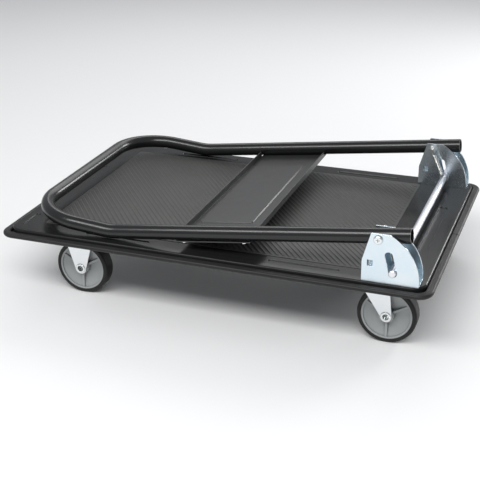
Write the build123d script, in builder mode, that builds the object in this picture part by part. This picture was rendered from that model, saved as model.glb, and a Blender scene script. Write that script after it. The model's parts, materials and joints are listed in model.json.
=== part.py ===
from build123d import *
import math
import os

# Folding platform cart. Origin on the floor under the middle of the deck,
# +X towards the handle hinges, +Y towards the user's right hand, +Z up.
# The handle lies folded over the deck and the lock bar is held pressed down.

os.makedirs("parts", exist_ok=True)

# ---- driving dimensions (mm) ----

# Deck: a pressed steel tray, open underneath
deck_length = 740.0
deck_width = 480.0
deck_top = 130.0
deck_sheet = 2.0
deck_depth = 11.5
deck_corner = 26.0
deck_edge_radius = 3.0

# Stiffening beads pressed down into the deck's border
bead_depth = 1.5
bead_width = 10.0
bead_draft = 35.0
side_bead_length = 122.0
side_bead_centre = 167.0
side_bead_inset = 24.0
end_bead_length = 204.0
end_bead_width = 16.0
end_bead_inset = 32.0
corner_bead_length = 52.0
corner_bead_centre = 189.0
corner_bead_inset = 20.0

# Mat laid on the middle of the deck
mat_thickness = 1.5
mat_width = 398.0
mat_corner = 6.0
mat_fixed_end_gap = 52.0
mat_hinge_end_gap = 95.0

# Edge bumper: a plastic strip round the deck with one butt joint
bumper_width = 13.0
bumper_corner = 26.0
bumper_drop = 5.5
bumper_lip = 2.0
bumper_lip_reach = 4.0
bumper_nose_radius = 3.9
bumper_groove = 1.5
groove_angle = 45.0
bumper_seam = 0.8

# Cross channels under the deck, which carry the casters
channel_depth = 10.0
channel_sheet = 2.0
channel_width = 110.0
channel_end_gap = 2.0

# Casters
wheel_diameter = 100.0
tyre_width = 26.0
tyre_thickness = 7.3
tyre_shoulder = 3.5
rim_width = 25.0
rim_ring = 3.2
web_edge_depth = 2.5
web_boss_depth = 8.0
boss_radius = 12.0
boss_width = 30.0
rib_count = 3
rib_thickness = 4.0
rib_sink = 1.0
rib_overlap = 1.0
first_rib = -90.0
sleeve_wall = 1.5
axle_diameter = 14.0
axle_bore = 10.5
axle_head_diameter = 18.0
axle_head_thickness = 1.5
fork_sheet = 2.5
fork_gap = 31.0
fixed_foot_radius = 10.5
fixed_fork_half_width = 30.0
swivel_foot_radius = 9.5
swivel_fork_back = 11.0
swivel_fork_front = 39.0
plate_length = 100.0
plate_width = 85.0
plate_corner = 8.0
plate_bolt_x = 80.0
plate_bolt_y = 60.0
caster_spread = 360.0
fixed_caster_x = -254.0
swivel_caster_x = 268.0
caster_trail = 35.0
race_radius = 27.0
ball_diameter = 5.0
ball_circle = 20.0
ball_count = 16
race_gap = 0.3
race_depth = 4.0
crown_sheet = 3.0
kingpin_diameter = 12.0
kingpin_head_diameter = 20.0
kingpin_head_thickness = 3.0

# Hinge brackets: U-shaped, riveted to the deck's border
bracket_gap = 29.0
bracket_sheet = 2.5
bracket_height = 82.5
bracket_back_height = 35.5
pivot_height = 73.0
pivot_x = 293.7
bracket_top_back = 11.6
bracket_top_front = 19.0
bracket_foot_back = 25.0
bracket_foot_front = 66.6
bracket_belly_front = 61.5
bracket_belly_height = 34.0
bracket_edge_inset = 3.0
bracket_screw_back = 11.0
bracket_screw_front = 51.0

# Handle: one bent tube
tube_diameter = 25.0
tube_wall = 1.5
handle_length = 474.0
grip_length = 159.0
grip_angle = 12.5
grip_corner = 90.0
knee_radius = 110.0
tail_length = 49.0
upright_lean = 5.0
handle_rest_gap = 0.5

# Panel across the handle
panel_start = 217.0
panel_width = 133.0
panel_sheet = 1.5
panel_overhang = 8.0
panel_grip_lip = 11.0
panel_hinge_lip = 8.0
emboss_height = 2.0
emboss_length = 292.0
emboss_margin_grip = 10.0
emboss_margin_hinge = 24.0
emboss_corner = 4.0
panel_screw_inset = 12.5

# Lock bar, its slots and springs
bar_diameter = 12.0
slot_top_x = 17.4
slot_top_drop = 25.5
slot_bottom_x = 25.0
slot_bottom_drop = 54.1
bar_end_gap = 0.5
bar_stub = 5.0
bar_tip_chamfer = 1.0
bar_neck_diameter = 8.0
bar_collar_diameter = 17.0
bar_collar_thickness = 2.4
spring_wire = 1.3
spring_coil = 9.0
spring_turns = 13
spring_loop_gap = 0.4
spring_leg = 5.0
stop_tab_width = 9.0
stop_tab_height = 10.0
stop_tab_drop = 41.0

# Fasteners
pivot_bolt_diameter = 8.0
pivot_head_diameter = 14.0
pivot_head_height = 4.0
pivot_nut_height = 6.5
pivot_nut_width = 13.0
pivot_bolt_tip = 8.0
bush_wall = 1.5
caster_bolt_diameter = 8.0
caster_head_width = 13.0
caster_head_height = 5.3
caster_nut_height = 6.5
bracket_screw_diameter = 6.0
bracket_head_diameter = 11.0
bracket_head_height = 3.0
bracket_nut_width = 10.0
bracket_nut_height = 5.0
panel_screw_diameter = 5.0
panel_head_diameter = 9.5
panel_head_height = 2.8
panel_screw_grip = 6.0
recess_width = 1.2
recess_length = 5.5
recess_depth = 1.6

# Clearances
running_clearance = 0.05
hole_clearance = 0.2
slot_clearance = 0.5
side_clearance = 0.4
stop_clearance = 0.3

sides = {"left": -1, "right": 1}

# ---- values worked out from the driving dimensions ----

deck_under = deck_top - deck_sheet
skirt_bottom = deck_top - deck_depth
bumper_bottom = skirt_bottom - bumper_lip
bumper_top = deck_top - bumper_drop
channel_bottom = deck_under - channel_depth
plate_under = channel_bottom - fork_sheet
axle_height = wheel_diameter / 2
half_spread = caster_spread / 2
cheek_offset = fork_gap / 2 + fork_sheet
swivel_wheel_x = swivel_caster_x + caster_trail
race_under = plate_under - race_depth
crown_top = race_under - ball_diameter - 2 * race_gap
crown_under = crown_top - crown_sheet
rim_radius = wheel_diameter / 2 - tyre_thickness
sleeve_bore = axle_diameter / 2 + running_clearance
sleeve_radius = sleeve_bore + sleeve_wall

bracket_width = bracket_gap + 2 * bracket_sheet
tube_y = deck_width / 2 - bracket_edge_inset - bracket_width / 2
inner_cheek_y = tube_y - bracket_width / 2
outer_cheek_y = tube_y + bracket_width / 2
pivot_z = deck_top + pivot_height
tube_radius = tube_diameter / 2
bolt_radius = pivot_bolt_diameter / 2
bush_bore = bolt_radius + running_clearance
bush_radius = bush_bore + bush_wall

# The folded handle slopes down to its knee, where it just clears the deck
handle_drop = pivot_height - tube_radius - handle_rest_gap
handle_slope = math.asin(handle_drop / handle_length)
handle_plane = Plane(
    origin=(pivot_x, 0, pivot_z),
    x_dir=(-math.cos(handle_slope), 0, -math.sin(handle_slope)),
    z_dir=(-math.sin(handle_slope), 0, math.cos(handle_slope)),
)

# The lock bar rests at the lower end of its slots
slot_run = math.hypot(slot_bottom_x - slot_top_x, slot_bottom_drop - slot_top_drop)
slot_up_x = (slot_top_x - slot_bottom_x) / slot_run
slot_up_z = (slot_bottom_drop - slot_top_drop) / slot_run
bar_x = pivot_x + slot_bottom_x + bar_end_gap * slot_up_x
bar_z = pivot_z - slot_bottom_drop + bar_end_gap * slot_up_z
spring_y = inner_cheek_y - pivot_nut_height - pivot_bolt_tip / 2


def save(builder, name):
    """Label a finished piece and write it as its own STEP file."""
    builder.part.label = name
    export_step(builder.part, f"parts/{name}.step")


def side_plane(y):
    """A plane across the cart at y, with local x along X and local y along Z."""
    return Plane(origin=(0, y, 0), x_dir=(1, 0, 0), z_dir=(0, -1, 0))


def cross_plane(x, y, z, side):
    """A plane at a point, facing outwards along Y on the given side."""
    return Plane(origin=(x, y, z), x_dir=(1, 0, 0), z_dir=(0, side, 0))


# ---- deck, mat and bumper ----

def bead_places():
    """Middle, length, width and direction of every bead in the deck's border."""
    side_y = deck_width / 2 - side_bead_inset
    for x in (-side_bead_centre, side_bead_centre):
        for y in (-side_y, side_y):
            yield x, y, side_bead_length, bead_width, 0
    yield deck_length / 2 - end_bead_inset, 0, end_bead_length, end_bead_width, 90
    corner_x = corner_bead_inset - deck_length / 2
    yield corner_x, 0, end_bead_length, bead_width, 90
    for y in (-corner_bead_centre, corner_bead_centre):
        yield corner_x, y, corner_bead_length, bead_width, 90


bracket_screw_places = [
    (pivot_x + x, side * tube_y)
    for side in sides.values()
    for x in (-bracket_screw_back, bracket_screw_front)
]

with BuildPart() as deck:
    with BuildSketch(Plane.XY.offset(skirt_bottom)):
        RectangleRounded(deck_length, deck_width, deck_corner)
    extrude(amount=deck_depth)
    fillet(deck.faces().sort_by(Axis.Z)[-1].edges(), deck_edge_radius)
    with BuildSketch(Plane.XY.offset(skirt_bottom)):
        RectangleRounded(
            deck_length - 2 * deck_sheet,
            deck_width - 2 * deck_sheet,
            deck_corner - deck_sheet,
        )
    extrude(amount=deck_depth - deck_sheet, mode=Mode.SUBTRACT)
    for x, y, length, width, turn in bead_places():
        with BuildSketch(Plane.XY.offset(deck_under)):
            with Locations((x, y)):
                SlotOverall(length + 2 * deck_sheet, width + 2 * deck_sheet, rotation=turn)
        extrude(amount=-bead_depth)
        with BuildSketch(Plane.XY.offset(deck_top)):
            with Locations((x, y)):
                SlotOverall(length, width, rotation=turn)
        extrude(amount=-bead_depth, taper=bead_draft, mode=Mode.SUBTRACT)
    with BuildSketch(Plane.XY.offset(deck_top)):
        with Locations(*bracket_screw_places):
            Circle(bracket_screw_diameter / 2 + hole_clearance)
    extrude(amount=-deck_sheet, mode=Mode.SUBTRACT)
save(deck, "deck")

mat_length = deck_length - mat_fixed_end_gap - mat_hinge_end_gap
mat_x = (mat_fixed_end_gap - mat_hinge_end_gap) / 2

with BuildPart() as deck_mat:
    with BuildSketch(Plane.XY.offset(deck_top)):
        with Locations((mat_x, 0)):
            RectangleRounded(mat_length, mat_width, mat_corner)
    extrude(amount=mat_thickness)
    chamfer(deck_mat.faces().sort_by(Axis.Z)[-1].edges(), mat_thickness / 3)
save(deck_mat, "deck_mat")

with BuildPart() as edge_bumper:
    bumper_length = deck_length + 2 * bumper_width
    with BuildSketch(Plane.XY.offset(bumper_bottom)):
        RectangleRounded(bumper_length, deck_width + 2 * bumper_width, bumper_corner)
    extrude(amount=bumper_top - bumper_bottom)
    fillet(edge_bumper.faces().sort_by(Axis.Z)[-1].edges(), bumper_nose_radius)
    fillet(edge_bumper.faces().sort_by(Axis.Z)[0].edges(), bumper_nose_radius)
    with BuildSketch(Plane.XY.offset(skirt_bottom)):
        RectangleRounded(deck_length, deck_width, deck_corner)
    extrude(amount=deck_depth, mode=Mode.SUBTRACT)
    with BuildSketch(Plane.XY.offset(bumper_bottom)):
        RectangleRounded(
            deck_length - 2 * bumper_lip_reach,
            deck_width - 2 * bumper_lip_reach,
            deck_corner - bumper_lip_reach,
        )
    extrude(amount=deck_depth, mode=Mode.SUBTRACT)
    # A shadow groove along the deck, cut as a chamfer in the strip's inner top edge
    with BuildSketch(Plane.XY.offset(bumper_top)):
        RectangleRounded(
            deck_length + 2 * bumper_groove,
            deck_width + 2 * bumper_groove,
            deck_corner + bumper_groove,
        )
    extrude(amount=-bumper_groove, taper=groove_angle, mode=Mode.SUBTRACT)
    with BuildSketch(Plane.XY.offset(bumper_bottom)):
        with Locations((deck_length / 2, 0)):
            Rectangle(4 * bumper_width, bumper_seam)
    extrude(amount=bumper_top - bumper_bottom, mode=Mode.SUBTRACT)
save(edge_bumper, "edge_bumper")


# ---- cross channels ----

def caster_bolt_places(x):
    """Bolt centres of both casters on one cross channel."""
    return [
        (x + i * plate_bolt_x / 2, side * half_spread + j * plate_bolt_y / 2)
        for side in sides.values()
        for i in (-1, 1)
        for j in (-1, 1)
    ]


def cross_channel(x):
    """An upward-open channel across the underside, notched where it meets a bead."""
    with BuildPart() as channel:
        length = deck_width - 2 * deck_sheet - 2 * channel_end_gap
        with BuildSketch(Plane.XY.offset(channel_bottom)):
            with Locations((x, 0)):
                Rectangle(channel_width, length)
        extrude(amount=channel_depth)
        with BuildSketch(Plane.XY.offset(channel_bottom + channel_sheet)):
            with Locations((x, 0)):
                Rectangle(channel_width - 2 * channel_sheet, length)
        extrude(amount=channel_depth, mode=Mode.SUBTRACT)
        notch = bead_width + 2 * deck_sheet + 2 * slot_clearance
        with BuildSketch(Plane.XY.offset(deck_under)):
            with Locations(*[(x, side * (deck_width / 2 - side_bead_inset)) for side in sides.values()]):
                Rectangle(channel_width, notch)
        extrude(amount=-bead_depth - slot_clearance, mode=Mode.SUBTRACT)
        with BuildSketch(Plane.XY.offset(channel_bottom)):
            with Locations(*caster_bolt_places(x)):
                Circle(caster_bolt_diameter / 2 + hole_clearance)
        extrude(amount=channel_sheet, mode=Mode.SUBTRACT)
    return channel


save(cross_channel(fixed_caster_x), "fixed_end_channel")
save(cross_channel(swivel_caster_x), "swivel_end_channel")


# ---- casters ----

def mounting_plate(x, y):
    """Outline and bolt holes of a caster's top plate, sketched in place."""
    with BuildSketch(Plane.XY.offset(plate_under)) as outline:
        with Locations((x, y)):
            RectangleRounded(plate_length, plate_width, plate_corner)
            with GridLocations(plate_bolt_x, plate_bolt_y, 2, 2):
                Circle(caster_bolt_diameter / 2 + hole_clearance, mode=Mode.SUBTRACT)
    return outline


def fork_cheeks(side, wheel_x, foot_radius, crown_points):
    """Both cheeks of a fork: straight sides run down to a round foot at the axle."""
    for offset in (-cheek_offset, cheek_offset - fork_sheet):
        with BuildSketch(side_plane(side * half_spread + offset + fork_sheet)) as cheek:
            with BuildLine():
                foot_left = (wheel_x - foot_radius, axle_height)
                foot_right = (wheel_x + foot_radius, axle_height)
                Polyline(foot_left, *crown_points, foot_right)
                RadiusArc(foot_right, foot_left, foot_radius)
            make_face()
            with Locations((wheel_x, axle_height)):
                Circle(axle_diameter / 2, mode=Mode.SUBTRACT)
        extrude(cheek.sketch, amount=fork_sheet)


def fixed_fork(side):
    """Top plate and two cheeks pressed from one sheet."""
    with BuildPart() as fork:
        add(mounting_plate(fixed_caster_x, side * half_spread).sketch)
        extrude(amount=fork_sheet)
        fork_cheeks(side, fixed_caster_x, fixed_foot_radius, [
            (fixed_caster_x - fixed_fork_half_width, plate_under),
            (fixed_caster_x + fixed_fork_half_width, plate_under),
        ])
    return fork


def swivel_plate(side):
    """Top plate with the upper ball race, riveted round the kingpin."""
    with BuildPart() as plate:
        add(mounting_plate(swivel_caster_x, side * half_spread).sketch)
        extrude(amount=fork_sheet)
        with BuildSketch(Plane.XY.offset(plate_under)):
            with Locations((swivel_caster_x, side * half_spread)):
                Circle(race_radius)
        extrude(amount=-race_depth)
        with BuildSketch(Plane.XY.offset(plate_under + fork_sheet)):
            with Locations((swivel_caster_x, side * half_spread)):
                Circle(kingpin_diameter / 2)
        extrude(amount=-fork_sheet - race_depth, mode=Mode.SUBTRACT)
    return plate


def swivel_fork(side):
    """Round crown on the kingpin, with two cheeks that trail back to the axle."""
    with BuildPart() as fork:
        with BuildSketch(Plane.XY.offset(crown_under)):
            with Locations((swivel_caster_x, side * half_spread)):
                Circle(race_radius)
        extrude(amount=crown_sheet)
        fork_cheeks(side, swivel_wheel_x, swivel_foot_radius, [
            (swivel_caster_x - swivel_fork_back, crown_top),
            (swivel_caster_x + swivel_fork_front, crown_top),
        ])
        with BuildSketch(Plane.XY.offset(crown_under)):
            with Locations((swivel_caster_x, side * half_spread)):
                Rectangle(2 * race_radius - 2 * crown_sheet, 2 * cheek_offset)
        extrude(amount=crown_sheet)
        with BuildSketch(Plane.XY.offset(crown_under)):
            with Locations((swivel_caster_x, side * half_spread)):
                Circle(kingpin_diameter / 2 + running_clearance)
        extrude(amount=crown_sheet, mode=Mode.SUBTRACT)
    return fork


def hollow_axle(side, x):
    """A tubular rivet with a flared head against each cheek."""
    with BuildPart() as axle:
        start = cross_plane(x, side * half_spread, axle_height, side)
        with BuildSketch(start.offset(-cheek_offset)):
            Circle(axle_diameter / 2)
        extrude(amount=2 * cheek_offset)
        with BuildSketch(start.offset(cheek_offset), start.offset(-cheek_offset - axle_head_thickness)):
            Circle(axle_head_diameter / 2)
        extrude(amount=axle_head_thickness)
        ends = axle.edges().filter_by(GeomType.CIRCLE).sort_by(Axis.Y)
        chamfer([ends[0], ends[-1]], axle_head_thickness / 2)
        with BuildSketch(start.offset(-cheek_offset - axle_head_thickness)):
            Circle(axle_bore / 2)
        extrude(amount=2 * cheek_offset + 2 * axle_head_thickness, mode=Mode.SUBTRACT)
    return axle


def wheel_plane(side, x):
    """Plane through the wheel's centre, with its normal along the axle."""
    return cross_plane(x, side * half_spread, axle_height, side)


def wheel_hub(side, x):
    """Moulded hub: a rim ring, a dished web on both faces, ribs and a boss."""
    half_rim = rim_width / 2
    rib_half = half_rim - rib_sink
    ring_inside = rim_radius - rim_ring
    centre = wheel_plane(side, x)
    with BuildPart() as hub:
        profile_plane = Plane(origin=centre.origin, x_dir=(1, 0, 0), z_dir=(0, 0, 1))
        with BuildSketch(profile_plane):
            with BuildLine():
                right = [
                    (sleeve_radius, boss_width / 2),
                    (boss_radius, boss_width / 2),
                    (boss_radius, half_rim - web_boss_depth),
                    (ring_inside, half_rim - web_edge_depth),
                    (ring_inside, half_rim),
                    (rim_radius, half_rim),
                ]
                Polyline(*right, *[(r, -h) for r, h in reversed(right)], close=True)
            make_face()
        revolve(axis=Axis(centre.origin, (0, 1, 0)))
        reach = (boss_radius + ring_inside) / 2
        rib_length = ring_inside - boss_radius + rib_overlap
        for i in range(rib_count):
            spoke = first_rib + 360 / rib_count * i
            with BuildSketch(centre.offset(-rib_half)):
                along = reach * math.cos(math.radians(spoke))
                upward = reach * math.sin(math.radians(spoke))
                flip = 1 if side < 0 else -1
                with Locations((along, flip * upward)):
                    Rectangle(rib_length, rib_thickness, rotation=flip * spoke)
            extrude(amount=2 * rib_half)
    return hub


def wheel_tyre(side, x):
    """Solid tyre with rounded shoulders, moulded on the rim."""
    centre = wheel_plane(side, x)
    with BuildPart() as tyre:
        with BuildSketch(centre.offset(-tyre_width / 2)):
            Circle(wheel_diameter / 2)
            Circle(rim_radius, mode=Mode.SUBTRACT)
        extrude(amount=tyre_width)
        outside = tyre.edges().filter_by(GeomType.CIRCLE).group_by(lambda edge: edge.radius)[-1]
        fillet(outside, tyre_shoulder)
    return tyre


def wheel_sleeve(side, x):
    """Plain bearing sleeve pressed in the hub, running on the axle."""
    with BuildPart() as sleeve:
        with BuildSketch(wheel_plane(side, x).offset(-boss_width / 2)):
            Circle(sleeve_radius)
            Circle(sleeve_bore, mode=Mode.SUBTRACT)
        extrude(amount=boss_width)
    return sleeve


for side_name, side in sides.items():
    save(fixed_fork(side), f"{side_name}_fixed_fork")
    save(swivel_plate(side), f"{side_name}_swivel_plate")
    save(swivel_fork(side), f"{side_name}_swivel_fork")
    save(hollow_axle(side, swivel_wheel_x), f"{side_name}_swivel_axle")
    save(hollow_axle(side, fixed_caster_x), f"{side_name}_fixed_axle")
    for kind, wheel_x in (("fixed", fixed_caster_x), ("swivel", swivel_wheel_x)):
        save(wheel_hub(side, wheel_x), f"{side_name}_{kind}_wheel_hub")
        save(wheel_tyre(side, wheel_x), f"{side_name}_{kind}_wheel_tyre")
        save(wheel_sleeve(side, wheel_x), f"{side_name}_{kind}_wheel_sleeve")

swivel_places = [(swivel_caster_x, side * half_spread) for side in sides.values()]

with BuildPart() as swivel_kingpins:
    with BuildSketch(Plane.XY.offset(channel_bottom)):
        with Locations(*swivel_places):
            Circle(kingpin_diameter / 2)
    extrude(amount=crown_under - race_gap - channel_bottom)
    with BuildSketch(Plane.XY.offset(crown_under - race_gap)):
        with Locations(*swivel_places):
            Circle(kingpin_head_diameter / 2)
    extrude(amount=-kingpin_head_thickness)
    chamfer(swivel_kingpins.faces().group_by(Axis.Z)[0].edges(), kingpin_head_thickness / 4)
save(swivel_kingpins, "swivel_kingpins")

with BuildPart() as swivel_balls:
    for x, y in swivel_places:
        with Locations((x, y, race_under - race_gap - ball_diameter / 2)):
            with PolarLocations(ball_circle, ball_count):
                Sphere(ball_diameter / 2)
save(swivel_balls, "swivel_balls")

all_caster_bolts = caster_bolt_places(fixed_caster_x) + caster_bolt_places(swivel_caster_x)
caster_bolt_length = fork_sheet + channel_sheet + caster_nut_height

with BuildPart() as caster_bolts:
    with BuildSketch(Plane.XY.offset(plate_under)):
        with Locations(*all_caster_bolts):
            RegularPolygon(caster_head_width / 2, 6, major_radius=False)
    extrude(amount=-caster_head_height)
    with BuildSketch(Plane.XY.offset(plate_under)):
        with Locations(*all_caster_bolts):
            Circle(caster_bolt_diameter / 2)
    extrude(amount=caster_bolt_length)
save(caster_bolts, "caster_bolts")

with BuildPart() as caster_nuts:
    with BuildSketch(Plane.XY.offset(channel_bottom + channel_sheet)):
        with Locations(*all_caster_bolts):
            RegularPolygon(caster_head_width / 2, 6, major_radius=False)
            Circle(caster_bolt_diameter / 2, mode=Mode.SUBTRACT)
    extrude(amount=caster_nut_height)
save(caster_nuts, "caster_nuts")


# ---- hinge brackets ----

stop_lean = math.radians(upright_lean)
stop_tab_face = (
    pivot_x
    - stop_tab_drop * math.tan(stop_lean)
    - tube_radius / math.cos(stop_lean)
    - stop_clearance
)


def bracket(side):
    """Base and two cheeks of one sheet, with slots for the lock bar and stop tabs."""
    with BuildPart() as piece:
        front = pivot_x + bracket_foot_front
        back = pivot_x - bracket_foot_back
        with BuildSketch(side_plane(side * tube_y + bracket_width / 2)):
            with BuildLine():
                top_back = (pivot_x - bracket_top_back, deck_top + bracket_height)
                top_front = (pivot_x + bracket_top_front, deck_top + bracket_height)
                belly = (pivot_x + bracket_belly_front, deck_top + bracket_belly_height)
                back_corner = (back, deck_top + bracket_back_height)
                Polyline((front, deck_top), (back, deck_top), back_corner, top_back, top_front)
                ThreePointArc(top_front, belly, (front, deck_top))
            make_face()
        extrude(amount=bracket_width)
        with BuildSketch(side_plane(side * tube_y + bracket_gap / 2)):
            with Locations(((front + back) / 2, deck_top + bracket_sheet + bracket_height / 2)):
                Rectangle(2 * (front - back), bracket_height)
        extrude(amount=bracket_gap, mode=Mode.SUBTRACT)
        with BuildSketch(side_plane(side * tube_y + bracket_width / 2)):
            with Locations((pivot_x, pivot_z)):
                Circle(bolt_radius)
            slot_middle = (
                pivot_x + (slot_top_x + slot_bottom_x) / 2,
                pivot_z - (slot_top_drop + slot_bottom_drop) / 2,
            )
            slot_turn = math.degrees(math.atan2(slot_up_z, slot_up_x))
            with Locations(slot_middle):
                SlotCenterToCenter(slot_run, bar_diameter + 2 * slot_clearance, rotation=slot_turn)
            with Locations((stop_tab_face + stop_tab_width / 2, pivot_z - stop_tab_drop)):
                Rectangle(stop_tab_width, stop_tab_height)
        extrude(amount=bracket_width, mode=Mode.SUBTRACT)
        # Lanced tabs, bent in from both cheeks, that stop the upright handle
        for inward in (-1, 1):
            tab_plane = side_plane(side * tube_y + inward * bracket_width / 2)
            with BuildSketch(tab_plane):
                with Locations((stop_tab_face - bracket_sheet / 2, pivot_z - stop_tab_drop)):
                    Rectangle(bracket_sheet, stop_tab_height)
            extrude(amount=inward * (bracket_sheet + stop_tab_width))
        with BuildSketch(Plane.XY.offset(deck_top)):
            with Locations(*[place for place in bracket_screw_places if place[1] * side > 0]):
                Circle(bracket_screw_diameter / 2 + hole_clearance)
        extrude(amount=bracket_sheet, mode=Mode.SUBTRACT)
    return piece


for side_name, side in sides.items():
    save(bracket(side), f"{side_name}_bracket")

with BuildPart() as bracket_screws:
    with BuildSketch(Plane.XY.offset(deck_top + bracket_sheet)):
        with Locations(*bracket_screw_places):
            Circle(bracket_head_diameter / 2)
    extrude(amount=bracket_head_height)
    fillet(bracket_screws.faces().group_by(Axis.Z)[-1].edges(), bracket_head_height / 2)
    with BuildSketch(Plane.XY.offset(deck_top + bracket_sheet)):
        with Locations(*bracket_screw_places):
            Circle(bracket_screw_diameter / 2)
    extrude(amount=-(bracket_sheet + deck_sheet + bracket_nut_height))
save(bracket_screws, "bracket_screws")

with BuildPart() as bracket_nuts:
    with BuildSketch(Plane.XY.offset(deck_under)):
        with Locations(*bracket_screw_places):
            RegularPolygon(bracket_nut_width / 2, 6, major_radius=False)
            Circle(bracket_screw_diameter / 2, mode=Mode.SUBTRACT)
    extrude(amount=-bracket_nut_height)
save(bracket_nuts, "bracket_nuts")


def cross_recess(plane, depth):
    """Cut a cross recess into a screw head that faces along the plane's normal."""
    with BuildSketch(plane) as cross:
        Rectangle(recess_length, recess_width)
        Rectangle(recess_width, recess_length)
    extrude(cross.sketch, amount=-depth, mode=Mode.SUBTRACT)


with BuildPart() as pivot_bolts:
    for side in sides.values():
        outside = cross_plane(pivot_x, side * outer_cheek_y, pivot_z, side)
        with BuildSketch(outside):
            Circle(pivot_head_diameter / 2)
        extrude(amount=pivot_head_height)
        fillet(pivot_bolts.faces().sort_by(Axis.Y)[-1 if side > 0 else 0].edges(), pivot_head_height / 2)
        with BuildSketch(outside):
            Circle(bolt_radius)
        extrude(amount=-(bracket_width + pivot_nut_height + pivot_bolt_tip))
        cross_recess(outside.offset(pivot_head_height), recess_depth)
save(pivot_bolts, "pivot_bolts")

with BuildPart() as pivot_nuts:
    for side in sides.values():
        with BuildSketch(cross_plane(pivot_x, side * inner_cheek_y, pivot_z, side)):
            RegularPolygon(pivot_nut_width / 2, 6, major_radius=False)
            Circle(bolt_radius, mode=Mode.SUBTRACT)
        extrude(amount=-pivot_nut_height)
save(pivot_nuts, "pivot_nuts")


# ---- handle ----

def along_handle(distance, y, rise):
    """A point by its distance from the pivot along the handle, and its rise off its plane."""
    return handle_plane.from_local_coords((distance, -y, rise))


grip_run = grip_length * math.cos(math.radians(grip_angle))
grip_rise = grip_length * math.sin(math.radians(grip_angle))

with BuildPart() as handle_tube:
    with BuildLine() as handle_path:
        FilletPolyline(
            along_handle(-tail_length, -tube_y, 0),
            along_handle(handle_length, -tube_y, 0),
            along_handle(handle_length + grip_run, -tube_y, grip_rise),
            along_handle(handle_length + grip_run, tube_y, grip_rise),
            along_handle(handle_length, tube_y, 0),
            along_handle(-tail_length, tube_y, 0),
            radius=[knee_radius, grip_corner, grip_corner, knee_radius],
        )
    with BuildSketch(Plane(origin=handle_path.line @ 0, z_dir=handle_path.line % 0)):
        Circle(tube_radius)
        Circle(tube_radius - tube_wall, mode=Mode.SUBTRACT)
    sweep()
    with BuildSketch(side_plane(outer_cheek_y)):
        with Locations((pivot_x, pivot_z)):
            Circle(bush_radius)
    extrude(amount=2 * outer_cheek_y, mode=Mode.SUBTRACT)
    # Screw holes in the lower wall of each side tube
    with BuildSketch(handle_plane.offset(-tube_radius)):
        with Locations(*[
            (panel_start + s, side * tube_y)
            for side in sides.values()
            for s in (panel_screw_inset, panel_width - panel_screw_inset)
        ]):
            Circle(panel_screw_diameter / 2 + hole_clearance)
    extrude(amount=tube_radius, mode=Mode.SUBTRACT)
save(handle_tube, "handle_tube")

with BuildPart() as pivot_bushes:
    bush_length = bracket_gap - 2 * side_clearance
    for side in sides.values():
        with BuildSketch(cross_plane(pivot_x, side * tube_y, pivot_z, side).offset(-bush_length / 2)):
            Circle(bush_radius)
            Circle(bush_bore, mode=Mode.SUBTRACT)
        extrude(amount=bush_length)
save(pivot_bushes, "pivot_bushes")

panel_top = handle_plane.offset(-tube_radius)
panel_middle = panel_start + panel_width / 2
panel_end = panel_start + panel_width
emboss_start = panel_start + emboss_margin_hinge
emboss_width = panel_width - emboss_margin_hinge - emboss_margin_grip
emboss_middle = emboss_start + emboss_width / 2

with BuildPart() as handle_panel:
    with BuildSketch(panel_top):
        with Locations((panel_middle, 0)):
            Rectangle(panel_width, 2 * (tube_y + panel_overhang))
    extrude(amount=-panel_sheet)
    lip_length = 2 * (tube_y - tube_radius - side_clearance)
    with BuildSketch(panel_top):
        with Locations((panel_end - panel_sheet / 2, 0)):
            Rectangle(panel_sheet, lip_length)
    extrude(amount=panel_grip_lip)
    with BuildSketch(panel_top):
        with Locations((panel_start + panel_sheet / 2, 0)):
            Rectangle(panel_sheet, lip_length)
    extrude(amount=panel_hinge_lip)
    with BuildSketch(panel_top):
        with Locations((emboss_middle, 0)):
            RectangleRounded(emboss_width, emboss_length, emboss_corner)
    extrude(amount=emboss_height, taper=bead_draft)
    with BuildSketch(panel_top.offset(-panel_sheet)):
        with Locations((emboss_middle, 0)):
            RectangleRounded(emboss_width - 2 * panel_sheet, emboss_length - 2 * panel_sheet, emboss_corner)
    extrude(amount=emboss_height, taper=bead_draft, mode=Mode.SUBTRACT)
    with BuildSketch(panel_top):
        with Locations(*[
            (panel_start + s, side * tube_y)
            for side in sides.values()
            for s in (panel_screw_inset, panel_width - panel_screw_inset)
        ]):
            Circle(panel_screw_diameter / 2 + hole_clearance)
    extrude(amount=-panel_sheet, mode=Mode.SUBTRACT)
save(handle_panel, "handle_panel")

with BuildPart() as panel_screws:
    for side in sides.values():
        for s in (panel_screw_inset, panel_width - panel_screw_inset):
            head = Plane(
                origin=along_handle(panel_start + s, side * tube_y, -tube_radius - panel_sheet),
                x_dir=handle_plane.x_dir,
                z_dir=handle_plane.z_dir,
            )
            with BuildSketch(head):
                Circle(panel_head_diameter / 2)
            extrude(amount=-panel_head_height)
            with BuildSketch(head):
                Circle(panel_screw_diameter / 2)
            extrude(amount=panel_screw_grip)
            cross_recess(
                Plane(origin=head.offset(-panel_head_height).origin, x_dir=head.x_dir, z_dir=-head.z_dir),
                recess_depth,
            )
save(panel_screws, "panel_screws")


# ---- lock bar and springs ----

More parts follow.
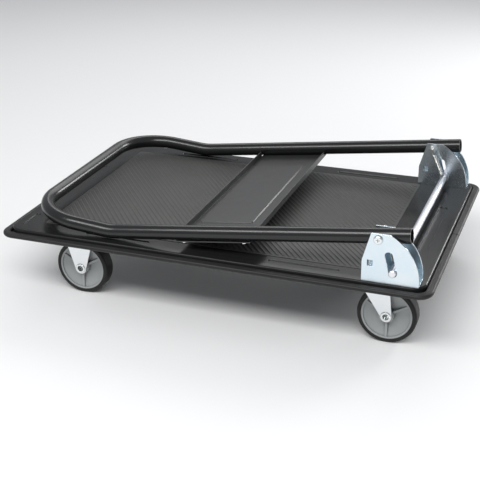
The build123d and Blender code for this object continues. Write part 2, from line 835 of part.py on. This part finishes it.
with BuildPart() as lock_bar:
    neck_end = inner_cheek_y - side_clearance - bar_collar_thickness
    neck_start = inner_cheek_y - pivot_nut_height - pivot_bolt_tip
    stations = [
        (neck_start, bar_diameter),
        (neck_end, bar_neck_diameter),
        (neck_end + bar_collar_thickness, bar_collar_diameter),
        (outer_cheek_y + bar_stub, bar_diameter),
    ]
    for side in sides.values():
        reached = 0
        for end, diameter in stations:
            with BuildSketch(cross_plane(bar_x, side * reached, bar_z, side)):
                Circle(diameter / 2)
            extrude(amount=end - reached)
            reached = end
    tips = lock_bar.faces().sort_by(Axis.Y)
    chamfer([*tips[0].edges(), *tips[-1].edges()], bar_tip_chamfer)
save(lock_bar, "lock_bar")


def lock_spring(side):
    """Stretched tension spring between the pivot bolt's tip and the bar's neck."""
    top_loop = bolt_radius + spring_loop_gap + spring_wire / 2
    bar_loop = bar_neck_diameter / 2 + spring_loop_gap + spring_wire / 2
    top = Vector(pivot_x, side * spring_y, pivot_z)
    bottom = Vector(bar_x, side * spring_y, bar_z)
    run = (bottom - top).length
    down = (bottom - top).normalized()
    coil_start = top_loop + spring_leg
    coil_height = run - bar_loop - spring_leg - coil_start
    coil_radius = (spring_coil - spring_wire) / 2
    with BuildPart() as spring:
        with BuildLine() as coil:
            Helix(coil_height / spring_turns, coil_height, coil_radius, top + down * coil_start, down)
        with BuildSketch(Plane(origin=coil.line @ 0, z_dir=coil.line % 0)):
            Circle(spring_wire / 2)
        sweep(is_frenet=True)
        ends = ((top, top_loop, down, coil.line @ 0), (bottom, bar_loop, -down, coil.line @ 1))
        for eye, loop_radius, inward, coil_end in ends:
            across = inward.cross(Vector(0, 1, 0))
            with BuildSketch(Plane(origin=eye + inward * loop_radius, x_dir=inward, z_dir=across)):
                Circle(spring_wire / 2)
            revolve(axis=Axis(eye, (0, 1, 0)))
            with BuildSketch(Plane(origin=eye + inward * loop_radius, z_dir=inward)):
                Circle(spring_wire / 2)
            extrude(amount=spring_leg + spring_wire / 4)
            hook = eye + inward * (loop_radius + spring_leg)
            with BuildSketch(Plane(origin=hook, z_dir=coil_end - hook)):
                Circle(spring_wire / 2)
            extrude(amount=coil_radius)
    return spring


for side_name, side in sides.items():
    save(lock_spring(side), f"{side_name}_lock_spring")
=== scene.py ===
import json
import math

import bmesh
import bpy
from mathutils import Matrix, Vector

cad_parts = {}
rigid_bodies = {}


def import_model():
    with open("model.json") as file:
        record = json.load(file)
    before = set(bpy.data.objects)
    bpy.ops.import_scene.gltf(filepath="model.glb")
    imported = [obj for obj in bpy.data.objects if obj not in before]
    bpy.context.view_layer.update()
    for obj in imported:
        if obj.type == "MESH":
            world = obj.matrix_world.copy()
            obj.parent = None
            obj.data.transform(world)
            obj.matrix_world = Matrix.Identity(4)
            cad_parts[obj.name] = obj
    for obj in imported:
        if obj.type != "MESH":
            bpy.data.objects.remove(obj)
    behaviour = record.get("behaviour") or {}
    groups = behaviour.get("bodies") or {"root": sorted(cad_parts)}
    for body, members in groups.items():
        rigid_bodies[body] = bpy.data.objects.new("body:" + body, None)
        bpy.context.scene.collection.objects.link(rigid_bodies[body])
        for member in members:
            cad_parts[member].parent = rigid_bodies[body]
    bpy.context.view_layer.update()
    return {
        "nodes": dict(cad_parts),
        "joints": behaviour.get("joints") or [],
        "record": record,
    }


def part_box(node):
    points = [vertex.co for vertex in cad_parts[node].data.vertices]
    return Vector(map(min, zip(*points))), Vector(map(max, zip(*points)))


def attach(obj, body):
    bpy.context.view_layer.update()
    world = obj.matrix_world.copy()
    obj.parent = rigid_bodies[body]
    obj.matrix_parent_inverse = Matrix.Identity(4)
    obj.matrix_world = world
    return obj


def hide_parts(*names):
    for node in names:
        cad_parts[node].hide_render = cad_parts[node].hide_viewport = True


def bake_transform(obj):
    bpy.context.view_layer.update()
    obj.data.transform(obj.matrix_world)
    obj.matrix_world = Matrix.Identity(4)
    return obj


# Looks of the folding platform cart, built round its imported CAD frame. Metres, Z up.

for leftover in list(bpy.data.objects):
    bpy.data.objects.remove(leftover)

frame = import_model()
record = frame["record"]
nodes = frame["nodes"]
scene = bpy.context.scene
body_of = {
    node: body
    for body, members in record["behaviour"]["bodies"].items()
    for node in members
}
joint_of = {joint["name"]: joint for joint in frame["joints"]}
mm = 0.001
sides = ("left", "right")
wheel_kinds = ("fixed", "swivel")
# Reach and patch size of the lighter edges, partly wear and partly painted highlight.
edge_mask_reach = 0.9 * mm
edge_mask_patch = 9.0 * mm


# ---- material helpers ----

def new_material(name):
    """An empty procedural material: its node tree and its surface shader."""
    material = bpy.data.materials.new(name)
    material.use_nodes = True
    tree = material.node_tree
    return material, tree, tree.nodes["Principled BSDF"]


def place(tree, stretch=(1, 1, 1)):
    """Coordinates on the object in metres, stretched."""
    source = tree.nodes.new("ShaderNodeTexCoord")
    mapping = tree.nodes.new("ShaderNodeMapping")
    mapping.inputs["Scale"].default_value = stretch
    tree.links.new(source.outputs["Object"], mapping.inputs["Vector"])
    return mapping.outputs["Vector"]


def noise(tree, size, detail=3.0, stretch=(1, 1, 1)):
    """Noise whose features are about size metres across."""
    texture = tree.nodes.new("ShaderNodeTexNoise")
    texture.inputs["Scale"].default_value = 1 / size
    texture.inputs["Detail"].default_value = detail
    tree.links.new(place(tree, stretch), texture.inputs["Vector"])
    return texture.outputs["Fac"]


def spots(tree, size):
    """Cells about size metres across, each with its own random grey."""
    texture = tree.nodes.new("ShaderNodeTexVoronoi")
    texture.inputs["Scale"].default_value = 1 / size
    tree.links.new(place(tree), texture.inputs["Vector"])
    return texture.outputs["Color"]


def spread(tree, value, low, high, to_low=0.0, to_high=1.0):
    """Stretch the part of a value between low and high over a new range."""
    node = tree.nodes.new("ShaderNodeMapRange")
    node.inputs["From Min"].default_value = low
    node.inputs["From Max"].default_value = high
    node.inputs["To Min"].default_value = to_low
    node.inputs["To Max"].default_value = to_high
    tree.links.new(value, node.inputs["Value"])
    return node.outputs["Result"]


def times(tree, first, second):
    """Product of two values."""
    node = tree.nodes.new("ShaderNodeMath")
    node.operation = "MULTIPLY"
    tree.links.new(first, node.inputs[0])
    tree.links.new(second, node.inputs[1])
    return node.outputs["Value"]


def blended(tree, factor, first, second):
    """Mix of two colours; each is a colour or another node's output."""
    node = tree.nodes.new("ShaderNodeMix")
    node.data_type = "RGBA"
    tree.links.new(factor, node.inputs["Factor"])
    for value, socket in ((first, node.inputs["A"]), (second, node.inputs["B"])):
        if isinstance(value, bpy.types.NodeSocket):
            tree.links.new(value, socket)
        else:
            socket.default_value = (*value, 1)
    return node.outputs["Result"]


def relief(tree, shader, layers):
    """Stack bumps on the shader; each layer is (height value, depth in metres, strength)."""
    normal = None
    for height, depth, strength in layers:
        bump = tree.nodes.new("ShaderNodeBump")
        bump.inputs["Distance"].default_value = depth
        bump.inputs["Strength"].default_value = strength
        tree.links.new(height, bump.inputs["Height"])
        if normal is not None:
            tree.links.new(normal, bump.inputs["Normal"])
        normal = bump.outputs["Normal"]
    tree.links.new(normal, shader.inputs["Normal"])


def scaled(colour, factor, lift=0.0):
    """A colour made brighter or darker by a factor, then lifted by a constant."""
    return tuple(value * factor + lift for value in colour)


def tinted(colour, tint):
    """A colour multiplied by a tint, channel by channel."""
    return tuple(value * share for value, share in zip(colour, tint))


def edges(tree):
    """High on sharp edges, broken up by noise: where handling wears a finish, and where a painted
    highlight lightens the edge.
    """
    rounded = tree.nodes.new("ShaderNodeBevel")
    rounded.inputs["Radius"].default_value = edge_mask_reach
    geometry = tree.nodes.new("ShaderNodeNewGeometry")
    agreement = tree.nodes.new("ShaderNodeVectorMath")
    agreement.operation = "DOT_PRODUCT"
    tree.links.new(rounded.outputs["Normal"], agreement.inputs[0])
    tree.links.new(geometry.outputs["Normal"], agreement.inputs[1])
    # Lighter edges stand for wear and for a painted highlight.
    edge_mask = spread(tree, agreement.outputs["Value"], 0.995, 0.93)
    return times(tree, edge_mask, spread(tree, noise(tree, edge_mask_patch), 0.35, 0.60))


def painted_hollow_shade(tree, reach):
    """High in corners and recesses within reach metres: the mask for painted shade."""
    occlusion = tree.nodes.new("ShaderNodeAmbientOcclusion")
    occlusion.inputs["Distance"].default_value = reach
    return spread(tree, occlusion.outputs["AO"], 0.85, 0.35)


def vary_roughness(tree, shader, size, detail, low, high, band=(0.3, 0.7)):
    """Roughness that wanders from low to high in patches of the given size."""
    patches = noise(tree, size, detail=detail)
    tree.links.new(spread(tree, patches, *band, low, high), shader.inputs["Roughness"])


def finish_colour(tree, shader, base, mottled, worn_and_highlit, mottle_size):
    """Base colour with slow mottling and a lighter tint on sharp edges, partly wear and partly
    painted highlight.
    """
    mottling = spread(tree, noise(tree, mottle_size, detail=4), 0.38, 0.66)
    body_colour = blended(tree, mottling, base, mottled)
    # Edge tint: partly wear, partly painted highlight.
    colour = blended(tree, edges(tree), body_colour, worn_and_highlit)
    tree.links.new(colour, shader.inputs["Base Color"])
    return colour


# ---- materials ----

def powder_coat(name, base, roughness, peel, gloss_coat, specular, rubbed_and_highlit):
    """Sprayed powder coat: orange peel, dulled patches and lighter edges, partly wear from rubbing
    and partly painted highlight.
    """
    material, tree, shader = new_material(name)
    # The lift on the edge tint is partly wear, partly painted highlight.
    finish_colour(tree, shader, base, scaled(base, 1.12), scaled(base, 1.5, rubbed_and_highlit), 120 * mm)
    vary_roughness(tree, shader, 30 * mm, 6, roughness - 0.02, roughness + 0.04, band=(0.35, 0.75))
    shader.inputs["Specular IOR Level"].default_value = specular
    shader.inputs["Coat Weight"].default_value = gloss_coat
    shader.inputs["Coat Roughness"].default_value = 0.2
    relief(tree, shader, [
        (noise(tree, 2.0 * mm, detail=1), 0.02 * mm, peel),
        (noise(tree, 16 * mm, detail=1), 0.10 * mm, peel * 0.5),
    ])
    return material


def vinyl_mat():
    """Dull vinyl with a faint grain and painted shade between its ribs."""
    material, tree, shader = new_material("ribbed_vinyl")
    dusty = spread(tree, noise(tree, 45 * mm, detail=5), 0.35, 0.7)
    colour = blended(tree, dusty, (0.050, 0.050, 0.048), (0.056, 0.056, 0.053))
    # Painted shade: darker between the ribs.
    groove_shaded = blended(tree, painted_hollow_shade(tree, 3 * mm), colour, (0.012, 0.012, 0.012))
    tree.links.new(groove_shaded, shader.inputs["Base Color"])
    vary_roughness(tree, shader, 6 * mm, 3, 0.40, 0.48)
    shader.inputs["Specular IOR Level"].default_value = 0.36
    relief(tree, shader, [(noise(tree, 0.6 * mm, detail=2), 0.02 * mm, 0.3)])
    return material


def bumper_vinyl():
    """Extruded soft PVC: faint draw lines, leathery grain and lighter edges, partly scuffs and partly
    painted highlight.
    """
    material, tree, shader = new_material("bumper_pvc")
    # The third colour tints the edges: partly scuffs, partly painted highlight.
    base, mottled, worn_and_highlit = (0.017, 0.0167, 0.017), (0.020, 0.0197, 0.020), (0.036, 0.035, 0.034)
    finish_colour(tree, shader, base, mottled, worn_and_highlit, 80 * mm)
    vary_roughness(tree, shader, 25 * mm, 4, 0.38, 0.46)
    shader.inputs["Specular IOR Level"].default_value = 0.26
    relief(tree, shader, [
        (noise(tree, 8 * mm, stretch=(1, 1, 12), detail=1), 0.04 * mm, 0.25),
        (spots(tree, 0.9 * mm), 0.01 * mm, 0.15),
    ])
    return material


def zinc_plate(name, tint, roughness, along):
    """Bright zinc plating: rolling lines (longest where along is small), blue and yellow casts, and
    painted shade in its recesses.
    """
    material, tree, shader = new_material(name)
    shader.inputs["Metallic"].default_value = 1.0
    blue = tinted(tint, (0.93, 0.97, 1.0))
    yellow = tinted(tint, (1.0, 0.995, 0.97))
    cast = blended(tree, spread(tree, noise(tree, 28 * mm, detail=3), 0.35, 0.65), tint, blue)
    cast = blended(tree, spread(tree, noise(tree, 11 * mm, detail=5), 0.58, 0.78), cast, yellow)
    # Painted shade: the zinc darkens in its recesses.
    shaded = scaled(blue, 0.6)
    tree.links.new(blended(tree, painted_hollow_shade(tree, 3 * mm), cast, shaded), shader.inputs["Base Color"])
    vary_roughness(tree, shader, 12 * mm, 6, roughness, roughness + 0.06, band=(0.4, 0.75))
    relief(tree, shader, [
        (noise(tree, 2.5 * mm, detail=2, stretch=along), 0.003 * mm, 0.2),
        (noise(tree, 40 * mm, detail=1), 0.08 * mm, 0.10),
    ])
    return material


def moulded_plastic(name, base, roughness):
    """Moulded plastic: fine spark-eroded texture, flow marks and painted shade in its corners."""
    material, tree, shader = new_material(name)
    colour = finish_colour(tree, shader, base, scaled(base, 0.95), scaled(base, 1.3), 18 * mm)
    # Painted shade: darker in corners and recesses.
    hollow_shaded = blended(tree, painted_hollow_shade(tree, 5 * mm), colour, scaled(base, 0.45))
    tree.links.new(hollow_shaded, shader.inputs["Base Color"])
    vary_roughness(tree, shader, 20 * mm, 4, roughness, roughness + 0.06)
    relief(tree, shader, [(noise(tree, 0.8 * mm, detail=2), 0.012 * mm, 0.3)])
    return material


def tyre_rubber():
    """Solid dark rubber with slow patches and slightly lighter edges, partly scuffs and partly
    painted highlight.
    """
    material, tree, shader = new_material("tyre_rubber")
    # The third colour tints the edges: partly scuffs, partly painted highlight.
    base, mottled, worn_and_highlit = (0.014, 0.014, 0.014), (0.018, 0.018, 0.0175), (0.045, 0.044, 0.042)
    finish_colour(tree, shader, base, mottled, worn_and_highlit, 20 * mm)
    vary_roughness(tree, shader, 12 * mm, 5, 0.42, 0.52)
    shader.inputs["Specular IOR Level"].default_value = 0.25
    relief(tree, shader, [
        (noise(tree, 0.8 * mm, detail=2), 0.015 * mm, 0.3),
        (noise(tree, 10 * mm, detail=2), 0.1 * mm, 0.1),
    ])
    return material


deck_grey = (0.012, 0.0121, 0.0124)
panel_grey = (0.034, 0.0342, 0.0342)
tube_black = (0.007, 0.0072, 0.0076)
even = (1, 1, 1)
# The last number of each coat lifts its edges: partly wear, partly painted highlight.
finishes = {
    "deck": powder_coat(
        "deck_powder_coat", deck_grey,
        roughness=0.22, peel=0.4, gloss_coat=0.0, specular=0.22, rubbed_and_highlit=0.09,
    ),
    "tube": powder_coat(
        "tube_powder_coat", tube_black,
        roughness=0.24, peel=0.10, gloss_coat=0.05, specular=0.5, rubbed_and_highlit=0.05,
    ),
    "panel": powder_coat(
        "panel_powder_coat", panel_grey,
        roughness=0.34, peel=0.4, gloss_coat=0.0, specular=0.4, rubbed_and_highlit=0.07,
    ),
    "channel": powder_coat(
        "underside_powder_coat", tube_black,
        roughness=0.42, peel=0.6, gloss_coat=0.0, specular=0.4, rubbed_and_highlit=0.02,
    ),
    "mat": vinyl_mat(),
    "bumper": bumper_vinyl(),
    "bracket": zinc_plate("bracket_zinc", (0.74, 0.81, 0.85), roughness=0.22, along=(0.08, 1, 1)),
    "fork": zinc_plate("fork_zinc", (0.86, 0.87, 0.87), roughness=0.30, along=(1, 1, 0.1)),
    "fastener": zinc_plate("fastener_zinc", (0.84, 0.85, 0.84), roughness=0.18, along=even),
    "bar": zinc_plate("bar_zinc", (0.84, 0.83, 0.87), roughness=0.32, along=(1, 0.05, 1)),
    "spring": zinc_plate("spring_zinc", (0.82, 0.81, 0.78), roughness=0.16, along=even),
    "steel": zinc_plate("plain_steel", (0.60, 0.60, 0.61), roughness=0.22, along=even),
    "hub": moulded_plastic("hub_polypropylene", (0.33, 0.345, 0.345), roughness=0.38),
    "bush": moulded_plastic("bush_nylon", (0.72, 0.70, 0.64), roughness=0.38),
    "tyre": tyre_rubber(),
}


# ---- mesh helpers ----

weld_distance = 0.002 * mm
flat_angle = math.radians(0.4)
sharp_angle = math.radians(35)
bevel_angle = math.radians(38)
kept_sharp_angle = math.radians(50)
wire_sharp_angle = math.radians(60)


def mesh_object(name, points, faces, material, sharp_from=sharp_angle):
    """A mesh from points and faces, smooth apart from its sharp edges."""
    mesh = bpy.data.meshes.new(name)
    mesh.from_pydata([tuple(point) for point in points], [], faces)
    mesh.validate()
    mesh.shade_smooth()
    mesh.set_sharp_from_angle(angle=sharp_from)
    mesh.materials.append(material)
    piece = bpy.data.objects.new(name, mesh)
    scene.collection.objects.link(piece)
    return piece


def grid_faces(first, rows, columns, rows_closed=False, columns_closed=False):
    """Quads over rows and columns of points, numbered from first, wrapped round where closed."""
    faces = []
    for row in range(rows if rows_closed else rows - 1):
        here = first + row * columns
        beyond = first + (row + 1) % rows * columns
        for column in range(columns if columns_closed else columns - 1):
            beside = (column + 1) % columns
            faces.append([here + column, here + beside, beyond + beside, beyond + column])
    return faces


def stand_for(piece, node):
    """The piece rides on its CAD node's body and hides it."""
    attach(piece, body_of[node])
    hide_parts(node)


def apply_modifiers(piece):
    """Bake a piece's modifiers into its mesh."""
    evaluated = piece.evaluated_get(bpy.context.evaluated_depsgraph_get())
    mesh = bpy.data.meshes.new_from_object(evaluated)
    piece.modifiers.clear()
    piece.data = mesh


def even_shading(piece):
    """Let large faces set the shading, so that broad sheets look flat up to their edges."""
    piece.data.shade_smooth()
    piece.data.set_sharp_from_angle(angle=kept_sharp_angle)
    flats = piece.modifiers.new("flats", "WEIGHTED_NORMAL")
    flats.keep_sharp = True
    apply_modifiers(piece)


def softened(node, edge, material, shallow_pressing=False):
    """A CAD piece with its edges really rounded, and its shallow pressings kept crisp if asked."""
    work = bmesh.new()
    work.from_mesh(nodes[node].data)
    bmesh.ops.remove_doubles(work, verts=work.verts, dist=weld_distance)
    bmesh.ops.dissolve_limit(work, angle_limit=flat_angle, verts=work.verts, edges=work.edges)
    points = [vertex.co.copy() for vertex in work.verts]
    faces = [[vertex.index for vertex in face.verts] for face in work.faces]
    work.free()
    piece = mesh_object(node + ".finished", points, faces, material)
    bevel = piece.modifiers.new("edges", "BEVEL")
    bevel.width = edge
    bevel.segments = 2
    bevel.limit_method = "ANGLE"
    bevel.angle_limit = bevel_angle
    bevel.use_clamp_overlap = True
    bevel.harden_normals = shallow_pressing
    apply_modifiers(piece)
    if not shallow_pressing:
        even_shading(piece)
    stand_for(piece, node)


def repaint(node, material):
    """Keep a CAD piece as it is and give it a better finish."""
    for slot in nodes[node].material_slots:
        slot.material = material


# ---- pieces that keep their CAD shape ----

pressed_edge = 0.4 * mm
cut_edge = 0.45 * mm
moulded_edge = 0.5 * mm
fastener_edge = 0.25 * mm

softened("deck", pressed_edge, finishes["deck"], shallow_pressing=True)
softened("handle_panel", pressed_edge, finishes["panel"], shallow_pressing=True)
for channel in ("fixed_end_channel", "swivel_end_channel"):
    softened(channel, pressed_edge, finishes["channel"])
for side in sides:
    softened(f"{side}_bracket", cut_edge, finishes["bracket"])
    softened(f"{side}_fixed_fork", cut_edge, finishes["fork"])
    softened(f"{side}_swivel_fork", cut_edge, finishes["fork"])
    softened(f"{side}_swivel_plate", pressed_edge, finishes["fork"])
    for kind in wheel_kinds:
        softened(f"{side}_{kind}_wheel_hub", moulded_edge, finishes["hub"])
        softened(f"{side}_{kind}_axle", fastener_edge, finishes["fastener"])
        repaint(f"{side}_{kind}_wheel_tyre", finishes["tyre"])
        repaint(f"{side}_{kind}_wheel_sleeve", finishes["steel"])
for fastener in (
    "caster_bolts", "caster_nuts", "bracket_nuts", "pivot_nuts", "pivot_bolts", "panel_screws",
):
    softened(fastener, fastener_edge, finishes["fastener"])
for node, finish in (
    ("bracket_screws", "fastener"),
    ("swivel_kingpins", "fastener"),
    ("swivel_balls", "steel"),
    ("handle_tube", "tube"),
    ("pivot_bushes", "bush"),
    ("lock_bar", "bar"),
):
    repaint(node, finishes[finish])


# ---- ribbed mat ----

rib_pitch = 8.1 * mm
rib_width = 5.2 * mm
rib_height = 0.8 * mm
rib_margin = 5.0 * mm
rib_end = 0.6 * mm
rib_turn = math.radians(-50.5)
rib_sink = -0.1
# Across a rib, as shares of its width and height.
rib_profile = ((-0.5, rib_sink), (-0.32, 0.62), (0, 1), (0.32, 0.62), (0.5, rib_sink))
mat_corner = 6.0 * mm
# The mat's rolled edge, as inset and drop below the sheet's top.
mat_roll = ((0, 0.4 * mm), (0.15 * mm, 0.1 * mm), (0.5 * mm, 0))


def rounded_rectangle(low, high, radius, inset, steps=6):
    """Outline points of a rounded rectangle, moved inwards by inset."""
    corners = (
        (high.x - radius, high.y - radius, 0),
        (low.x + radius, high.y - radius, 90),
        (low.x + radius, low.y + radius, 180),
        (high.x - radius, low.y + radius, 270),
    )
    reach = radius - inset
    outline = []
    for x, y, start in corners:
        for step in range(steps + 1):
            angle = math.radians(start + 90 * step / steps)
            outline.append((x + reach * math.cos(angle), y + reach * math.sin(angle)))
    return outline


def clipped_run(middle, along, low, high):
    """Where a straight line through middle enters and leaves a rectangle."""
    start, end = -math.inf, math.inf
    for axis in (0, 1):
        first = (low[axis] - middle[axis]) / along[axis]
        second = (high[axis] - middle[axis]) / along[axis]
        start = max(start, min(first, second))
        end = min(end, max(first, second))
    return start, end


def mat_sheet(low, high, sheet_top):
    """Points and faces of the mat without its ribs."""
    rings = [(0, low.z)] + [(inset, sheet_top - drop) for inset, drop in mat_roll]
    points = []
    for inset, height in rings:
        outline = rounded_rectangle(low, high, mat_corner, inset)
        points += [Vector((x, y, height)) for x, y in outline]
    count = len(points) // len(rings)
    faces = grid_faces(0, len(rings), count, columns_closed=True)
    faces.append(list(range(count - 1, -1, -1)))
    faces.append(list(range(len(points) - count, len(points))))
    return points, faces


def ribbed_mat():
    """The mat: a thin sheet with a rolled edge and raised diagonal ribs."""
    low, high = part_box("deck_mat")
    sheet_top = high.z - rib_height
    points, faces = mat_sheet(low, high, sheet_top)
    along = Vector((math.cos(rib_turn), math.sin(rib_turn), 0))
    across = Vector((along.y, -along.x, 0))
    centre = (low + high) / 2
    margin = Vector((rib_margin, rib_margin, 0))
    half_count = int((high - low).length / 2 / rib_pitch)
    for number in range(-half_count, half_count + 1):
        middle = centre + across * number * rib_pitch
        start, end = clipped_run(middle, along, low + margin, high - margin)
        if end - start < rib_pitch:
            continue
        stations = (start, rib_sink), (start + rib_end, 1), (end - rib_end, 1), (end, rib_sink)
        faces += grid_faces(len(points), len(stations), len(rib_profile))
        for distance, highest in stations:
            for offset, rise in rib_profile:
                point = middle + along * distance + across * offset * rib_width
                point.z = sheet_top + min(rise, highest) * rib_height
                points.append(point)
    stand_for(mesh_object("ribbed_mat", points, faces, finishes["mat"]), "deck_mat")


ribbed_mat()


# ---- edge bumper ----

bumper_corner = 26.0 * mm
bumper_corner_steps = 12
bumper_nose = 3.9 * mm
bumper_nose_steps = 6
bumper_chamfer = 1.5 * mm
bumper_lip = 2.0 * mm
bumper_lip_reach = 4.0 * mm
bumper_seam = 2.0 * mm
draw_line_depth = 0.18 * mm
draw_line_pitch = 1.6 * mm
draw_line_width = 0.4 * draw_line_pitch


def bumper_section(height, width):
    """Strip with a rounded nose, drawn lines on top and a lip under the deck, as (inset, height)."""
    turns = [math.radians(90 * step / bumper_nose_steps) for step in range(bumper_nose_steps + 1)]
    section = [(width + bumper_lip_reach, 0)]
    section += [
        (bumper_nose * (1 - math.sin(turn)), bumper_nose * (1 - math.cos(turn))) for turn in turns
    ]
    section += [
        (bumper_nose * (1 - math.cos(turn)), height - bumper_nose * (1 - math.sin(turn)))
        for turn in turns
    ]
    inset = bumper_nose + draw_line_pitch / 2
    while inset < width - bumper_chamfer - draw_line_pitch / 2:
        section += [
            (inset, height),
            (inset + draw_line_width / 2, height - draw_line_depth),
            (inset + draw_line_width, height),
        ]
        inset += draw_line_pitch
    section += [
        (width - bumper_chamfer, height),
        (width, height - bumper_chamfer),
        (width, bumper_lip),
        (width + bumper_lip_reach, bumper_lip),
    ]
    return section


def edge_bumper():
    """One extruded strip bent round the deck, its ends butted at the hinge end."""
    low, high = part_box("edge_bumper")
    width = high.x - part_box("deck")[1].x
    section = bumper_section(high.z - low.z, width)
    points = []
    for inset, height in section:
        outline = rounded_rectangle(low, high, bumper_corner, inset, bumper_corner_steps)
        face = high.x - inset
        path = [(face, bumper_seam / 2)] + outline + [(face, -bumper_seam / 2)]
        points += [Vector((x, y, low.z + height)) for x, y in path]
    rows = len(section)
    count = len(points) // rows
    faces = grid_faces(0, rows, count, rows_closed=True)
    faces.append([row * count for row in range(rows)])
    faces.append([row * count + count - 1 for row in reversed(range(rows))])
    stand_for(mesh_object("bumper_strip", points, faces, finishes["bumper"]), "edge_bumper")


edge_bumper()


# ---- lock springs ----

spring_turns = 26
points_per_turn = 14
wire_radius = 0.65 * mm
wire_sides = 10
coil_radius = 3.85 * mm
leg_length = 4.5 * mm
# Where a leg bends, as a share of its length, and how far aside, as a share of the coil's radius.
leg_bend = 0.45
leg_lean = 0.2
hook_pin_radius = 4.0 * mm
hook_gap = 0.5 * mm
hook_radius = hook_pin_radius + hook_gap + wire_radius
hook_start = 20
hook_sweep = 320
hook_steps = 24


def swept_wire(name, path, radius, material):
    """A round wire along a list of points."""
    points = []
    side_way = None
    for i, point in enumerate(path):
        ahead = (path[min(i + 1, len(path) - 1)] - path[max(i - 1, 0)]).normalized()
        if side_way is None:
            side_way = ahead.orthogonal().normalized()
        side_way = (side_way - ahead * side_way.dot(ahead)).normalized()
        other_way = ahead.cross(side_way)
        for step in range(wire_sides):
            angle = 2 * math.pi * step / wire_sides
            points.append(point + (side_way * math.cos(angle) + other_way * math.sin(angle)) * radius)
    faces = grid_faces(0, len(path), wire_sides, columns_closed=True)
    faces.append(list(range(wire_sides - 1, -1, -1)))
    faces.append(list(range(len(points) - wire_sides, len(points))))
    return mesh_object(name, points, faces, material, sharp_from=wire_sharp_angle)


def hook(centre, inward, aside):
    """Points of a nearly closed loop round centre, open towards inward."""
    path = []
    for step in range(hook_steps + 1):
        angle = math.radians(hook_start + hook_sweep * step / hook_steps)
        path.append(centre + (inward * math.cos(angle) + aside * math.sin(angle)) * hook_radius)
    return path


def coil(top, down, ahead, start, end):
    """Points of the coil, which runs down from top between the distances start and end."""
    sideways = Vector((0, 1, 0))
    path = []
    steps = spring_turns * points_per_turn
    for step in range(steps + 1):
        share = step / steps
        angle = 2 * math.pi * spring_turns * share + math.pi
        way = ahead * math.cos(angle) + sideways * math.sin(angle)
        path.append(top + down * (start + (end - start) * share) + way * coil_radius)
    return path


def lock_spring(side):
    """Tension spring stretched between the pivot bolt and the lock bar's neck."""
    node = f"{side}_lock_spring"
    low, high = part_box(node)
    bar_low, bar_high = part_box("lock_bar")
    bolt = Vector(joint_of["handle_fold"]["pos_m"])
    y = (low.y + high.y) / 2
    top = Vector((bolt.x, y, bolt.z))
    bottom = Vector(((bar_low.x + bar_high.x) / 2, y, (bar_low.z + bar_high.z) / 2))
    down = (bottom - top).normalized()
    ahead = down.cross(Vector((0, 1, 0)))
    bend = down * (hook_radius + leg_length * leg_bend)
    lean = ahead * coil_radius * leg_lean
    ends = hook_radius + leg_length
    path = hook(top, down, ahead) + [top + bend - lean]
    path += coil(top, down, ahead, ends, (bottom - top).length - ends)
    path += [bottom - bend - lean] + hook(bottom, -down, -ahead)
    piece = swept_wire(f"{side}_tension_spring", path, wire_radius, finishes["spring"])
    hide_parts(node)
    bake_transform(piece)


for side in sides:
    lock_spring(side)


# ---- floor, light and camera ----

floor_half = 30.0
floor_patch = 1.5
cart_middle = (0, 0, 0)
view_azimuth = math.radians(20.67)
view_elevation = math.radians(24.39)
view_roll = math.radians(-0.76)
view_place = (0.6130, -1.6846, 0.8710)
view_lens = 78.8
view_sensor = 36.0


def studio_floor():
    """A wide pale floor."""
    half = floor_half
    points = [(-half, -half, 0), (half, -half, 0), (half, half, 0), (-half, half, 0)]
    material, tree, shader = new_material("pale_floor")
    patches = spread(tree, noise(tree, floor_patch), 0.3, 0.7)
    colour = blended(tree, patches, (0.86, 0.86, 0.86), (0.88, 0.88, 0.88))
    tree.links.new(colour, shader.inputs["Base Color"])
    shader.inputs["Roughness"].default_value = 0.6
    floor = mesh_object("floor", points, [[0, 1, 2, 3]], material)


def soft_light(name, centre, aim, width, height, power):
    """A soft box that faces its aim."""
    light = bpy.data.lights.new(name, "AREA")
    light.shape = "RECTANGLE"
    light.size = width
    light.size_y = height
    light.energy = power
    lamp = bpy.data.objects.new(name, light)
    lamp.location = centre
    lamp.rotation_euler = (Vector(aim) - Vector(centre)).to_track_quat("-Z", "Y").to_euler()
    scene.collection.objects.link(lamp)


def studio_world():
    """Even white surroundings."""
    world = bpy.data.worlds.new("studio")
    world.use_nodes = True
    background = world.node_tree.nodes["Background"]
    background.inputs["Color"].default_value = (0.95, 0.97, 1.0, 1)
    background.inputs["Strength"].default_value = 0.42
    scene.world = world


def camera():
    """Long lens, a little above the cart and round towards its hinge end."""
    back = Vector((
        math.sin(view_azimuth) * math.cos(view_elevation),
        -math.cos(view_azimuth) * math.cos(view_elevation),
        math.sin(view_elevation),
    ))
    level = Vector((math.cos(view_azimuth), math.sin(view_azimuth), 0))
    upright = back.cross(level)
    right = level * math.cos(view_roll) + upright * math.sin(view_roll)
    up = upright * math.cos(view_roll) - level * math.sin(view_roll)
    lens = bpy.data.cameras.new("camera")
    lens.sensor_width = view_sensor
    lens.lens = view_lens
    viewer = bpy.data.objects.new("camera", lens)
    turn = Matrix((right, up, back)).transposed().to_4x4()
    viewer.matrix_world = Matrix.Translation(view_place) @ turn
    scene.collection.objects.link(viewer)
    scene.camera = viewer


studio_floor()
studio_world()
soft_light("key", (-0.1, -1.7, 2.1), cart_middle, width=3.0, height=0.8, power=60)
soft_light("back", (-0.4, 1.9, 1.7), cart_middle, width=2.4, height=0.8, power=14)
soft_light("hinge_end", (1.25, 1.8, 0.8), (0.3, 0, 0.1), width=0.8, height=0.5, power=16)
camera()
scene.view_settings.view_transform = "Standard"
